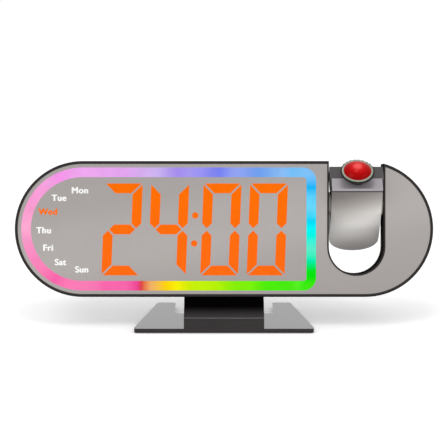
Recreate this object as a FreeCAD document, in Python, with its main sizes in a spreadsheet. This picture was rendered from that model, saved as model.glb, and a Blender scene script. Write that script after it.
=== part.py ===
"""Projection alarm clock, millimetres.

The clock stands on a bent metal stand, faces -Y and rests on z = 0 with its origin under its middle.
The head is drawn upright, with x to the right, y back from the face and z up from the face's centre,
and then leans back on the stand. The projector arm is drawn about its own pivot.
"""
import FreeCAD, Part
import math
import os
from types import SimpleNamespace

import Sketcher
from FreeCAD import Vector

DRIVING_SIZES = {
    # cutting tools run this far past the faces they cut
    "cut_past": 1.0,
    # head: a wide pill that leans back on the stand
    "head_width": 200.0,
    "head_height": 65.0,
    "head_depth": 18.0,
    "front_depth": 15.0,
    "head_wall": 2.2,
    "rear_floor": 2.0,
    "rim_width": 1.4,
    "rim_proud": 0.2,
    "rim_chamfer": 0.5,
    "rear_fillet": 2.6,
    "lean_angle": 12.5,
    # mirror panel with the light ring and the lit segments let into its face
    "panel_thickness": 2.0,
    "inlay_depth": 1.2,
    "ring_gap": 3.1,
    "ring_width": 4.6,
    "ring_right": 44.0,
    "ring_corner": 6.1,
    "digit_height": 43.9,
    "digit_width": 18.1,
    "digit_pitch": 22.2,
    "colon_pitch": 25.0,
    "digits_left": -57.75,
    "digit_slant": 2.2,
    "segment_width": 4.65,
    "segment_gap": 0.8,
    "colon_dot_radius": 1.5,
    "colon_dot_spacing": 13.4,
    "digits_drop": 0.2,
    "weekday_radius": 18.9,
    "weekday_start": 94.2,
    "weekday_window_width": 8.0,
    "weekday_window_height": 4.4,
    "weekday_step": 29.1,
    # display block and its board
    "reflector_depth": 4.0,
    "reflector_rim": 0.8,
    "board_thickness": 1.2,
    "led_size": 2.0,
    "led_height": 0.8,
    "connector_x": -6.0,
    "connector_z": -18.0,
    "connector_length": 20.0,
    "connector_width": 3.5,
    "led_pocket": 3.0,
    "ring_floor": 1.2,
    "ring_led_pitch": 12.0,
    "ring_led_step": 36.0,
    # slot for the projector arm
    "slot_centre": 63.2,
    "slot_width": 26.2,
    "slot_floor": -21.6,
    "slot_wall": 1.8,
    "slot_lip": 0.8,
    # projector arm
    "pivot_height": 12.2,
    "pivot_depth": 8.0,
    "arm_width": 24.0,
    "arm_thickness": 16.4,
    "arm_top": 16.8,
    "arm_tail": 30.4,
    "arm_tilt": 45.0,
    "cover_skin": 2.0,
    "cover_crown_radius": 90.0,
    "cover_crown_height": 2.0,
    "back_crown_radius": 80.0,
    "back_crown_height": 4.0,
    "cap_length": 1.6,
    "cheek_width": 25.6,
    "cheek_length": 7.0,
    "arm_wall": 1.6,
    "optics_bore": 4.5,
    "optics_wall": 0.8,
    "optics_start": -8.0,
    "lamp_size": 3.5,
    "lamp_height": 1.5,
    "condenser_place": -2.0,
    "condenser_edge": 1.0,
    "condenser_rise": 1.6,
    "film_place": 3.0,
    "film_thickness": 1.2,
    "tail_screw_place": -19.0,
    "tail_screw_seat": 3.2,
    "side_screw_place": 8.0,
    "side_screw_spread": 16.8,
    "side_screw_seat": 6.6,
    "side_boss_radius": 1.9,
    "tail_boss_radius": 2.6,
    "cover_grip": 1.2,
    "pin_radius": 3.0,
    "pin_grip": 3.2,
    "pin_head_radius": 4.4,
    "pin_head_thickness": 1.2,
    "washer_radius": 5.5,
    # focus ring and projection lens
    "focus_radius": 8.1,
    "focus_height": 5.1,
    "focus_sleeve_length": 8.0,
    "focus_lip_radius": 7.4,
    "focus_lip_height": 0.5,
    "focus_grip_height": 0.45,
    "focus_wall": 1.0,
    "grip_count": 24,
    "grip_radius": 0.35,
    "lens_radius": 6.6,
    "lens_rise": 2.5,
    "lens_seat": 1.2,
    # snooze bar on the top
    "snooze_length": 95.0,
    "snooze_centre": -12.5,
    "snooze_width": 4.8,
    "snooze_depth": 11.0,
    "snooze_proud": 0.05,
    "snooze_crown": 0.5,
    "snooze_flange": 0.6,
    "snooze_travel": 0.5,
    "flange_thickness": 1.2,
    "flange_margin": 1.0,
    "snooze_board_width": 6.0,
    "snooze_post": 3.0,
    "snooze_switch_spread": 60.0,
    # buttons on the back
    "button_radius": 3.2,
    "button_pitch": 13.0,
    "button_row": 9.0,
    "button_row_centre": 4.0,
    "button_proud": 0.8,
    "button_crown": 0.4,
    # main board and what it carries
    "main_board_left": -76.0,
    "main_board_right": 42.0,
    "main_board_height": 40.0,
    "standoff_height": 4.0,
    "standoff_margin": 1.0,
    "standoff_radius": 2.6,
    "chip_x": 16.0,
    "chip_size": 10.0,
    "chip_height": 1.2,
    "crystal_x": -39.0,
    "crystal_length": 10.0,
    "crystal_width": 3.2,
    "switch_height": 2.0,
    "switch_width": 4.0,
    "buzzer_radius": 6.0,
    "buzzer_height": 3.8,
    "buzzer_x": 12.0,
    "buzzer_z": -9.0,
    "grille_hole_radius": 0.7,
    "grille_ring_radius": 3.2,
    "usb_x": -24.0,
    "usb_z": -11.0,
    "usb_width": 9.0,
    "usb_height": 3.3,
    "usb_wall": 0.35,
    "usb_base": 1.0,
    "usb_sunk": 0.4,
    "door_x": -56.0,
    "door_radius": 13.5,
    "door_thickness": 1.2,
    "door_lip": 1.5,
    "lug_width": 6.0,
    "lug_reach": 0.9,
    "lug_thickness": 0.6,
    "coin_slot_width": 2.0,
    "coin_slot_depth": 0.8,
    "cell_radius": 10.0,
    "cell_thickness": 3.2,
    "holder_wall": 1.3,
    # screws
    "boss_radius": 3.0,
    "boss_inset": 4.6,
    "boss_angle_left": 128.0,
    "boss_angle_right": 35.0,
    "boss_x": 38.0,
    "screw_radius": 1.0,
    "screw_head_radius": 2.0,
    "screw_head_height": 1.2,
    "screw_length": 8.0,
    "board_screw_length": 5.0,
    # stand: a plate with its neck bent up from the front edge
    "plate_front_width": 86.0,
    "plate_back_width": 66.0,
    "plate_depth": 46.4,
    "plate_thickness": 2.0,
    "plate_corner": 1.5,
    "notch_width": 48.0,
    "notch_depth": 20.0,
    "neck_width": 38.0,
    "neck_bend_height": 6.6,
    "neck_bend_radius": 3.0,
    "neck_pad_length": 14.0,
    "neck_pad_start": 1.2,
    "head_setback": 12.2,
    "head_clearance": 14.2,
    "stand_screw_spacing": 22.0,
    "stand_screw_depth": 11.0,
    "stand_boss_radius": 2.8,
    "stand_screw_length": 7.0,
    # rubber feet let into the plate
    "foot_radius": 3.5,
    "foot_proud": 0.4,
    "foot_recess": 1.0,
    "foot_inset": 7.0,
    "foot_margin": 1.75,
    # clearances
    "running_clearance": 0.05,
    "fit_clearance": 0.1,
    "slide_clearance": 0.1,
}

doc = FreeCAD.newDocument("ProjectionAlarmClock")
sheet = doc.addObject("Spreadsheet::Sheet", "Sizes")
for row, (alias, value) in enumerate(DRIVING_SIZES.items(), start=1):
    sheet.set("A%d" % row, alias)
    sheet.set("B%d" % row, str(value))
    sheet.setAlias("B%d" % row, alias)
doc.recompute()


class Size:
    """A number that also knows how it is written in terms of the sheet's cells."""

    def __init__(self, value, text):
        self.value = float(value)
        self.text = text

    def __add__(self, other):
        other = as_size(other)
        return Size(self.value + other.value, "(%s + %s)" % (self.text, other.text))

    def __sub__(self, other):
        other = as_size(other)
        return Size(self.value - other.value, "(%s - %s)" % (self.text, other.text))

    def __mul__(self, other):
        other = as_size(other)
        return Size(self.value * other.value, "(%s * %s)" % (self.text, other.text))

    def __truediv__(self, other):
        other = as_size(other)
        return Size(self.value / other.value, "(%s / %s)" % (self.text, other.text))

    def __neg__(self):
        return Size(-self.value, "(0 - %s)" % self.text)

    __radd__ = __add__
    __rmul__ = __mul__

    def __rsub__(self, other):
        return as_size(other) - self

    def __float__(self):
        return self.value


def as_size(number):
    """Any plain number as a Size."""
    if isinstance(number, Size):
        return number
    return Size(number, "%.9g" % number)


def root(size):
    """Square root of a Size."""
    return Size(math.sqrt(size.value), "sqrt(%s)" % size.text)


def sine(angle):
    """Sine of a Size in degrees."""
    return Size(math.sin(math.radians(angle.value)), "sin(%s * 1deg)" % angle.text)


def cosine(angle):
    """Cosine of a Size in degrees."""
    return Size(math.cos(math.radians(angle.value)), "cos(%s * 1deg)" % angle.text)


def tangent(angle):
    """Tangent of a Size in degrees."""
    return Size(math.tan(math.radians(angle.value)), "tan(%s * 1deg)" % angle.text)


s = SimpleNamespace(**{name: Size(sheet.get(name), "Sizes." + name) for name in DRIVING_SIZES})

# Frames of the drawn pieces

MIDDLE = as_size(0)
HEAD_ANGLE = -s.lean_angle
HEAD_Y = s.head_setback - s.plate_depth / 2 + s.head_height / 2 * sine(s.lean_angle)
HEAD_Z = s.foot_proud + s.head_clearance + s.head_height / 2 * cosine(s.lean_angle)
ARM_ANGLE = s.arm_tilt - s.lean_angle
ARM_Y = HEAD_Y + s.pivot_depth * cosine(s.lean_angle) + s.pivot_height * sine(s.lean_angle)
ARM_Z = HEAD_Z - s.pivot_depth * sine(s.lean_angle) + s.pivot_height * cosine(s.lean_angle)
NODES = []


def bind(item, name, size):
    """Tie one property of an object to the sheet."""
    item.setExpression(name, as_size(size).text)


def place(item, x, y, z, angle):
    """Turn an object about X by an angle in degrees and move it, all tied to the sheet."""
    item.Placement = FreeCAD.Placement(Vector(x.value, y.value, z.value),
                                       FreeCAD.Rotation(Vector(1, 0, 0), angle.value))
    bind(item, "Placement.Base.x", x)
    bind(item, "Placement.Base.y", y)
    bind(item, "Placement.Base.z", z)
    item.setExpression("Placement.Rotation.Angle", angle.text + " * 1deg")


def keep(item, node):
    """Give a finished piece the name that its file and its node take."""
    item.Label = node
    NODES.append(item)


def grouped(solids):
    """Separate solids that share one node."""
    group = doc.addObject("Part::Compound", "Group")
    group.Links = list(solids)
    return group


def free_to_move(item):
    """The piece itself, or a group of one where its own placement is already in use."""
    return grouped([item]) if item.TypeId in ("Part::Box", "Part::Cylinder") else item


def in_head(item, node):
    """Finish a piece that was drawn in the upright head."""
    item = free_to_move(item)
    place(item, MIDDLE, HEAD_Y, HEAD_Z, HEAD_ANGLE)
    keep(item, node)


def in_arm(item, node):
    """Finish a piece that was drawn about the arm's pivot."""
    item = free_to_move(item)
    place(item, s.slot_centre, ARM_Y, ARM_Z, ARM_ANGLE)
    keep(item, node)


# Sketched outlines. A vertex is (u, v). A vertex followed by a centre starts an arc to the next vertex:
# (u, v, centre_u, centre_v, "left" or "right", "u" or "v"), where left turns against the clock and the
# last letter says which coordinate of the centre is held.

def hold_point(sketch, item, position, u, v):
    """Hold one point of a sketch at a place measured from its origin."""
    for kind, size in (("DistanceX", u), ("DistanceY", v)):
        hold_coordinate(sketch, kind, item, position, size)


def hold_coordinate(sketch, kind, item, position, size):
    """Hold one coordinate of a point of a sketch."""
    number = sketch.addConstraint(Sketcher.Constraint(kind, -1, 1, item, position, size.value))
    sketch.setExpression("Constraints[%d]" % number, size.text)


def draw_outline(sketch, vertices):
    """Draw one closed outline of lines and arcs."""
    ends = []
    for index, vertex in enumerate(vertices):
        after = vertices[(index + 1) % len(vertices)]
        start = Vector(float(vertex[0]), float(vertex[1]), 0)
        finish = Vector(float(after[0]), float(after[1]), 0)
        if len(vertex) == 2:
            item = sketch.addGeometry(Part.LineSegment(start, finish))
            ends.append((item, 1, 2))
            continue
        centre = Vector(float(vertex[2]), float(vertex[3]), 0)
        first, last = (start, finish) if vertex[4] == "left" else (finish, start)
        circle = Part.Circle(centre, Vector(0, 0, 1), (start - centre).Length)
        angles = [math.atan2(point.y - centre.y, point.x - centre.x) for point in (first, last)]
        if angles[1] <= angles[0]:
            angles[1] += 2 * math.pi
        item = sketch.addGeometry(Part.ArcOfCircle(circle, angles[0], angles[1]))
        ends.append((item, 1, 2) if vertex[4] == "left" else (item, 2, 1))
        if vertex[5] == "u":
            hold_coordinate(sketch, "DistanceX", item, 3, as_size(vertex[2]))
        else:
            hold_coordinate(sketch, "DistanceY", item, 3, as_size(vertex[3]))
    for index, vertex in enumerate(vertices):
        item, begin, _ = ends[index]
        before, _, end = ends[index - 1]
        hold_point(sketch, item, begin, as_size(vertex[0]), as_size(vertex[1]))
        sketch.addConstraint(Sketcher.Constraint("Coincident", before, end, item, begin))


def draw_circle(sketch, u, v, radius):
    """Draw one circle."""
    u, v = as_size(u), as_size(v)
    circle = Part.Circle(Vector(u.value, v.value, 0), Vector(0, 0, 1), radius.value)
    item = sketch.addGeometry(circle)
    hold_point(sketch, item, 3, u, v)
    number = sketch.addConstraint(Sketcher.Constraint("Radius", item, radius.value))
    sketch.setExpression("Constraints[%d]" % number, radius.text)


def rectangle(left, right, bottom, top):
    """Outline of a rectangle."""
    return [(left, bottom), (right, bottom), (right, top), (left, top)]


def pill(width, height):
    """Outline of a pill that lies on its side about the origin."""
    end = height / 2
    flat = width / 2 - end
    return [(-flat, -end), (flat, -end, flat, MIDDLE, "left", "u"),
            (flat, end), (-flat, end, -flat, MIDDLE, "left", "u")]


def u_shape(half_width, top):
    """Outline of the arm's slot, open at the top, or of a wall around it."""
    centre_v = s.slot_floor + s.slot_width / 2
    left = s.slot_centre - half_width
    right = s.slot_centre + half_width
    return [(left, top), (left, centre_v, s.slot_centre, centre_v, "left", "v"), (right, centre_v),
            (right, top)]


def d_shape(inset):
    """Outline of the light ring, or of one inset from it: round on the left, small corners on the right."""
    end = s.head_height / 2 - s.ring_gap - inset
    flat = s.head_width / 2 - s.head_height / 2
    right = s.ring_right - inset
    corner = s.ring_corner - inset
    return [(-flat, -end), (right - corner, -end, right - corner, corner - end, "left", "u"),
            (right, corner - end), (right, end - corner, right - corner, end - corner, "left", "u"),
            (right - corner, end), (-flat, end, -flat, MIDDLE, "left", "u")]


# Solids from outlines. Planes: "XZ" runs back along Y, "XY" up along Z, "YZ" to the right along X.

PLANE_TURNS = {
    "XZ": FreeCAD.Rotation(Vector(1, 0, 0), 90),
    "XY": FreeCAD.Rotation(),
    "YZ": FreeCAD.Rotation(Vector(1, 1, 1), 120),
}
PLANE_RUNS = {"XZ": Vector(0, 1, 0), "XY": Vector(0, 0, 1), "YZ": Vector(1, 0, 0)}
PLANE_LIFTS = {"XZ": "Placement.Base.y", "XY": "Placement.Base.z", "YZ": "Placement.Base.x"}


def prism(outlines, start, end, plane="XZ", circles=()):
    """A solid between two parallel planes, from sketched outlines and circles."""
    start, end = as_size(start), as_size(end)
    sketch = doc.addObject("Sketcher::SketchObject", "Outline")
    sketch.Placement = FreeCAD.Placement(PLANE_RUNS[plane] * start.value, PLANE_TURNS[plane])
    bind(sketch, PLANE_LIFTS[plane], start)
    for outline in outlines:
        draw_outline(sketch, outline)
    for u, v, radius in circles:
        draw_circle(sketch, u, v, radius)
    solid = doc.addObject("Part::Extrusion", "Prism")
    solid.Base = sketch
    solid.DirMode = "Custom"
    solid.Dir = PLANE_RUNS[plane]
    bind(solid, "LengthFwd", end - start)
    solid.Solid = True
    return solid


def block(left, right, front, back, bottom, top):
    """A box between six planes."""
    solid = doc.addObject("Part::Box", "Block")
    for name, size in (("Length", right - left), ("Width", back - front), ("Height", top - bottom)):
        bind(solid, name, size)
    for axis, size in (("x", left), ("y", front), ("z", bottom)):
        bind(solid, "Placement.Base." + axis, size)
    return solid


def rod(axis, first, second, radius, start, end):
    """A cylinder along an axis; first and second are its centre's other two coordinates in X, Y, Z order."""
    start, end = as_size(start), as_size(end)
    solid = doc.addObject("Part::Cylinder", "Rod")
    turns = {"x": (Vector(0, 1, 0), 90), "y": (Vector(1, 0, 0), -90), "z": (Vector(0, 0, 1), 0)}
    solid.Placement = FreeCAD.Placement(Vector(), FreeCAD.Rotation(*turns[axis]))
    bind(solid, "Radius", radius)
    bind(solid, "Height", end - start)
    others = [letter for letter in "xyz" if letter != axis]
    bind(solid, "Placement.Base." + axis, start)
    bind(solid, "Placement.Base." + others[0], first)
    bind(solid, "Placement.Base." + others[1], second)
    return solid


def joined(*solids):
    """Several solids made one, or kept as one group of separate solids."""
    if len(solids) == 1:
        return solids[0]
    union = doc.addObject("Part::MultiFuse", "Union")
    union.Shapes = list(solids)
    union.Refine = True
    return union


def less(solid, *tools):
    """A solid with others taken out of it."""
    rest = doc.addObject("Part::Cut", "Rest")
    rest.Base = solid
    rest.Tool = joined(*tools)
    rest.Refine = True
    return rest


def shared(*solids):
    """What several solids have in common."""
    common = doc.addObject("Part::MultiCommon", "Common")
    common.Shapes = list(solids)
    common.Refine = True
    return common


def turned(profile):
    """A round piece: half of its section turned about the sketch's upright axis, as a body."""
    body = doc.addObject("PartDesign::Body", "Turned")
    plane = [item for item in body.Origin.OriginFeatures if item.Role == "XZ_Plane"][0]
    sketch = body.newObject("Sketcher::SketchObject", "Section")
    sketch.AttachmentSupport = [(plane, "")]
    sketch.MapMode = "FlatFace"
    draw_outline(sketch, profile)
    revolution = body.newObject("PartDesign::Revolution", "Turn")
    revolution.Profile = sketch
    revolution.ReferenceAxis = (sketch, ["V_Axis"])
    revolution.Angle = 360
    return body

# Places that several pieces of the head share

half_slot = s.slot_width / 2
slot_far = s.head_depth + 2
head_top = s.head_height / 2
end_centre = s.head_width / 2 - head_top
panel_front = s.rim_proud
panel_back = panel_front + s.panel_thickness
inlay_back = panel_front + s.inlay_depth
reflector_back = panel_back + s.reflector_depth
display_board_back = reflector_back + s.board_thickness
cover_inside = s.head_depth - s.rear_floor
main_board_back = cover_inside - s.standoff_height
main_board_front = main_board_back - s.board_thickness
wall_inside = head_top - s.head_wall
snooze_left = s.snooze_centre - s.snooze_length / 2
snooze_right = s.snooze_centre + s.snooze_length / 2
flange_bottom = wall_inside - s.slide_clearance - s.flange_thickness
snooze_switch_top = flange_bottom - s.snooze_travel - s.slide_clearance
snooze_board_top = snooze_switch_top - s.switch_height
button_flange_back = cover_inside - s.slide_clearance
button_flange_front = button_flange_back - s.flange_thickness


def rounded(solid, radius, chosen):
    """Round the edges of a solid that the given test picks."""
    doc.recompute()
    fillet = doc.addObject("Part::Fillet", "Rounded")
    fillet.Base = solid
    fillet.Edges = [(number, radius.value, radius.value)
                    for number, edge in enumerate(solid.Shape.Edges, start=1) if chosen(edge)]
    return fillet


def lies_at(axis, size):
    """A test for edges that lie wholly in one plane across an axis."""
    def chosen(edge):
        box = edge.BoundBox
        low, high = getattr(box, axis + "Min"), getattr(box, axis + "Max")
        return abs(low - size.value) < 1e-4 and abs(high - size.value) < 1e-4
    return chosen


def inner_pill(inset):
    """Outline of the head, inset all round."""
    return pill(s.head_width - inset * 2, s.head_height - inset * 2)


def slot_prism(margin, start, end):
    """The arm's slot, or the slot with a margin round it, between two depths."""
    return prism([u_shape(half_slot + margin, s.head_height)], start, end)


def facing(item, node, x, z):
    """Finish a turned piece whose axis runs back from a place on the head's face."""
    y_shift = HEAD_Y + z * sine(s.lean_angle)
    z_shift = HEAD_Z + z * cosine(s.lean_angle)
    place(item, x, y_shift, z_shift, HEAD_ANGLE - 90)
    keep(item, node)


def boss_places():
    """Middles of the case screws: two at each round end and two below."""
    swing = head_top - s.boss_inset
    places = [(s.boss_x, -swing), (-s.boss_x, -swing)]
    for side in (1, -1):
        places.append((swing * cosine(s.boss_angle_left) - end_centre, swing * sine(s.boss_angle_left) * side))
        places.append((swing * cosine(s.boss_angle_right) + end_centre, swing * sine(s.boss_angle_right) * side))
    return places


def stand_screw_places():
    """Distances to the side of the two screws that hold the head on its stand."""
    return [side * s.stand_screw_spacing / 2 for side in (1, -1)]


def front_housing():
    """The rim and walls of the head, with the slot's walls, screw bosses and posts for the snooze board."""
    outer = prism([inner_pill(MIDDLE)], MIDDLE, s.front_depth)
    outer = rounded(outer, s.rim_chamfer, lies_at("Y", MIDDLE))
    hollow = less(prism([inner_pill(s.head_wall)], -s.cut_past, s.front_depth + s.cut_past),
                  slot_prism(s.slot_wall, -s.cut_past * 2, slot_far))
    seat = less(prism([inner_pill(s.rim_width)], -1, panel_back), slot_prism(s.slot_lip, -2, slot_far))
    bosses = [rod("y", x, z, s.boss_radius, display_board_back + s.fit_clearance, s.front_depth)
              for x, z in boss_places()]
    bosses += [rod("z", x, s.stand_screw_depth, s.stand_boss_radius, s.head_wall / 2 - head_top,
                   s.stand_screw_length - head_top) for x in stand_screw_places()]
    half = s.snooze_board_width / 2
    post_gap = s.flange_margin + s.slide_clearance * 2
    for left in (snooze_left - post_gap - s.snooze_post, snooze_right + post_gap):
        bosses.append(block(left, left + s.snooze_post, s.snooze_depth - half, s.snooze_depth + half,
                            snooze_board_top, head_top - s.head_wall / 2))
    holes = [rod("y", x, z, s.screw_radius, display_board_back, s.front_depth + s.cut_past) for x, z in boss_places()]
    holes += [rod("z", x, s.stand_screw_depth, s.screw_radius, -head_top - s.cut_past,
                  s.stand_screw_length - head_top - s.screw_radius) for x in stand_screw_places()]
    half = s.snooze_width / 2 + s.slide_clearance
    holes.append(block(snooze_left - s.slide_clearance, snooze_right + s.slide_clearance, s.snooze_depth - half,
                       s.snooze_depth + half, wall_inside - s.cut_past, head_top + s.cut_past))
    wall_reach = half_slot + s.slot_wall + s.cut_past
    holes.append(rod("x", s.pivot_depth, s.pivot_height, s.pin_radius + s.running_clearance,
                     s.slot_centre - wall_reach, s.slot_centre + wall_reach))
    shell = less(outer, hollow, seat, slot_prism(MIDDLE, -s.cut_past, slot_far))
    in_head(less(joined(shell, *bosses), *holes), "front_housing")


def button_places():
    """Middles of the buttons on the back, from left to right as seen from the front."""
    return [s.button_row_centre + s.button_pitch * number for number in (-2, -1, 0, 1, 2)]


def standoff_places():
    """Middles of the main board's four standoffs."""
    inset = s.standoff_radius + s.standoff_margin
    return [(x, side * (s.main_board_height / 2 - inset)) for side in (1, -1)
            for x in (s.main_board_left + inset, s.main_board_right - inset)]


def grille_places():
    """Middles of the sound holes."""
    ring = [(s.buzzer_x + s.grille_ring_radius * math.cos(math.radians(angle)),
             s.buzzer_z + s.grille_ring_radius * math.sin(math.radians(angle))) for angle in range(0, 360, 60)]
    return ring + [(s.buzzer_x, s.buzzer_z)]


def usb_pill(margin, start, end):
    """The inlet's oblong with a margin round it, between two depths."""
    solid = prism([pill(s.usb_width + margin * 2, s.usb_height + margin * 2)], start, end)
    bind(solid, "Placement.Base.x", s.usb_x)
    bind(solid, "Placement.Base.z", s.usb_z)
    return solid


def rear_cover():
    """The shallow back shell, with standoffs for the main board and openings for all that shows behind."""
    outer = prism([inner_pill(MIDDLE)], s.front_depth, s.head_depth)
    outer = rounded(outer, s.rear_fillet, lies_at("Y", s.head_depth))
    hollow = less(prism([inner_pill(s.head_wall)], s.front_depth - s.cut_past, cover_inside),
                  slot_prism(s.slot_wall, s.front_depth - 2, slot_far))
    standoffs = [rod("y", x, z, s.standoff_radius, main_board_back, s.head_depth - s.rear_floor / 2)
                 for x, z in standoff_places()]
    sleeves = [rod("y", x, z, s.boss_radius, s.front_depth, s.head_depth - s.rear_floor / 2)
               for x, z in boss_places()]
    holes = [rod("y", x, z, s.screw_radius, main_board_back - s.cut_past, cover_inside + s.rear_floor / 2)
             for x, z in standoff_places()]
    head_seat = s.head_depth - s.screw_head_height - s.fit_clearance
    for x, z in boss_places():
        holes.append(rod("y", x, z, s.screw_radius + s.fit_clearance, s.front_depth - s.cut_past, slot_far))
        holes.append(rod("y", x, z, s.screw_head_radius + s.fit_clearance, head_seat, slot_far))
    holes += [rod("y", x, s.button_row, s.button_radius + s.slide_clearance, cover_inside - s.cut_past, slot_far)
              for x in button_places()]
    holes += [rod("y", x, z, s.grille_hole_radius, cover_inside - s.cut_past, slot_far) for x, z in grille_places()]
    holes.append(usb_pill(s.fit_clearance * 2, cover_inside - s.cut_past, slot_far))
    lip_radius = s.door_radius - s.door_lip
    holes.append(rod("y", s.door_x, MIDDLE, s.door_radius, s.head_depth - s.door_thickness, slot_far))
    holes.append(rod("y", s.door_x, MIDDLE, lip_radius, cover_inside - s.cut_past, slot_far))
    notch_half = s.lug_width / 2 + s.fit_clearance * 2
    notch_reach = lip_radius + s.lug_reach + s.fit_clearance * 2
    holes.append(block(s.door_x - notch_half, s.door_x + notch_half, cover_inside - s.cut_past,
                       s.head_depth - s.door_thickness / 2, -notch_reach, notch_reach))
    shell = less(outer, hollow, slot_prism(MIDDLE, s.front_depth - s.cut_past, slot_far))
    in_head(less(joined(shell, *standoffs, *sleeves), *holes), "rear_cover")


# Lit figures. Letters name a figure's segments as usual: a on top, then clockwise b to f, and g across.

LIT_FIGURES = ("abged", "fgbc", "abcdef", "abcdef")
ALL_SEGMENTS = "abcdefg"


def figure_lefts():
    """Left edges of the four figures at half their height."""
    first = s.digits_left
    third = first + s.digit_pitch + s.colon_pitch
    return [first, first + s.digit_pitch, third, third + s.digit_pitch]


def segment_outlines(left, letters):
    """Outlines of some segments of a slanted figure."""
    wide, high, thick = s.digit_width, s.digit_height / 2, s.segment_width
    shift = s.segment_gap / math.sqrt(2)
    half = thick / 2
    upright = [(MIDDLE, high - shift), (MIDDLE, half + shift), (half, shift), (thick, half + shift),
               (thick, high - thick - shift)]
    level = [(shift, high), (thick + shift, high - thick), (wide - thick - shift, high - thick),
             (wide - shift, high)]
    across = [(half + shift, MIDDLE), (thick + shift, -half), (wide - thick - shift, -half),
              (wide - half - shift, MIDDLE), (wide - thick - shift, half), (thick + shift, half)]
    shapes = {
        "a": level,
        "b": [(wide - x, z) for x, z in reversed(upright)],
        "c": [(wide - x, -z) for x, z in upright],
        "d": [(x, -z) for x, z in reversed(level)],
        "e": [(x, -z) for x, z in reversed(upright)],
        "f": upright,
        "g": across,
    }
    lean = tangent(s.digit_slant)
    return [[(left + x + as_size(z) * lean, z - s.digits_drop) for x, z in shapes[letter]] for letter in letters]


def colon_circles():
    """The two dots between the hours and the minutes."""
    middle = s.digits_left + s.digit_pitch + s.digit_width + (s.colon_pitch - s.digit_width) / 2
    lean = tangent(s.digit_slant)
    heights = [side * s.colon_dot_spacing / 2 for side in (1, -1)]
    return [(middle + height * lean, height - s.digits_drop, s.colon_dot_radius) for height in heights]


def lit_prisms(letters_of, start, end):
    """Solids in the shape of the figures' segments, one for each figure."""
    return [prism(segment_outlines(left, letters), start, end) for left, letters in zip(figure_lefts(), letters_of)]


def ring_prism(start, end):
    """The light ring's band between two depths."""
    return prism([d_shape(MIDDLE), d_shape(s.ring_width)], start, end)


def mirror_panel():
    """The face: one clear plate, half mirrored, with seats for all that shines in it."""
    plate = prism([inner_pill(s.rim_width)], panel_front, panel_back)
    tools = lit_prisms(LIT_FIGURES, panel_front - s.cut_past, inlay_back)
    tools.append(ring_prism(panel_front - s.cut_past, inlay_back))
    tools.append(prism([], panel_front - s.cut_past, inlay_back, circles=colon_circles()))
    in_head(less(plate, slot_prism(s.slot_lip, -1, slot_far), *tools), "mirror_panel")


def light_inlays():
    """The light ring, the four figures and the colon, flush with the face."""
    in_head(ring_prism(panel_front, inlay_back), "light_ring")
    for number, figure in enumerate(lit_prisms(LIT_FIGURES, panel_front, inlay_back), start=1):
        in_head(figure, "figure_%d" % number)
    in_head(prism([], panel_front, inlay_back, circles=colon_circles()), "colon_dots")


def ring_led_places():
    """Middles of the lamps behind the light ring."""
    radius = head_top - s.ring_gap - s.ring_width / 2
    right = s.ring_right - s.ring_width / 2
    places = []
    for number in range(9):
        along = s.ring_led_pitch * number - end_centre
        places += [(along, radius), (along, -radius)]
    for number in (-2, -1, 0, 1, 2):
        angle = math.radians(s.ring_led_step.value * number)
        places.append((-end_centre - radius * math.cos(angle), radius * math.sin(angle)))
    places += [(right, s.ring_led_pitch * number) for number in (-1, 0, 1)]
    return places


def segment_led_places():
    """Middles of the lamps behind every segment and dot."""
    rise, wide, half = s.digit_height / 4, s.digit_width, s.segment_width / 2
    spots = [(wide / 2, rise * 2 - half), (wide - half, rise), (wide - half, -rise), (wide / 2, half - rise * 2),
             (half, -rise), (half, rise), (wide / 2, MIDDLE)]
    lean = tangent(s.digit_slant)
    places = [(left + x + z * lean, z - s.digits_drop) for left in figure_lefts() for x, z in spots]
    return places + [(x, z) for x, z, _ in colon_circles()]


def weekday_places():
    """Middles of the seven weekday windows, on an arc round the left end."""
    angles = [s.weekday_start + s.weekday_step * number for number in range(7)]
    return [(s.weekday_radius * cosine(angle) - end_centre, s.weekday_radius * sine(angle)) for angle in angles]


def lamps(places, size):
    """Small square lamps on the front of the display board."""
    half = size / 2
    return [block(x - half, x + half, reflector_back - s.led_height, reflector_back, z - half, z + half)
            for x, z in places]


def display_reflector():
    """White block behind the face that keeps each lamp's light in its own cell."""
    blank = prism([d_shape(-s.reflector_rim)], panel_back, reflector_back)
    cells = lit_prisms([ALL_SEGMENTS] * 4, panel_back - s.cut_past, reflector_back + s.cut_past)
    cells.append(prism([], panel_back - s.cut_past, reflector_back + s.cut_past, circles=colon_circles()))
    cells.append(ring_prism(panel_back - s.cut_past, reflector_back - s.ring_floor))
    half = s.led_pocket / 2
    for x, z in ring_led_places():
        cells.append(block(x - half, x + half, panel_back, reflector_back + s.cut_past, z - half, z + half))
    wide, high = s.weekday_window_width / 2, s.weekday_window_height / 2
    for x, z in weekday_places():
        cells.append(block(x - wide, x + wide, panel_back - s.cut_past, reflector_back + s.cut_past,
                           z - high, z + high))
    in_head(less(blank, *cells), "display_reflector")


def display_electronics():
    """The display board, its three sets of lamps and the connector that joins it to the main board."""
    in_head(prism([d_shape(-s.reflector_rim)], reflector_back, display_board_back), "display_board")
    in_head(grouped(lamps(segment_led_places(), s.led_size)), "segment_leds")
    in_head(grouped(lamps(ring_led_places(), s.led_size)), "ring_leds")
    in_head(grouped(lamps(weekday_places(), s.led_size)), "weekday_leds")
    half = s.connector_length / 2
    in_head(block(s.connector_x - half, s.connector_x + half, display_board_back, main_board_front,
                  s.connector_z, s.connector_z + s.connector_width), "board_connector")


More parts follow.
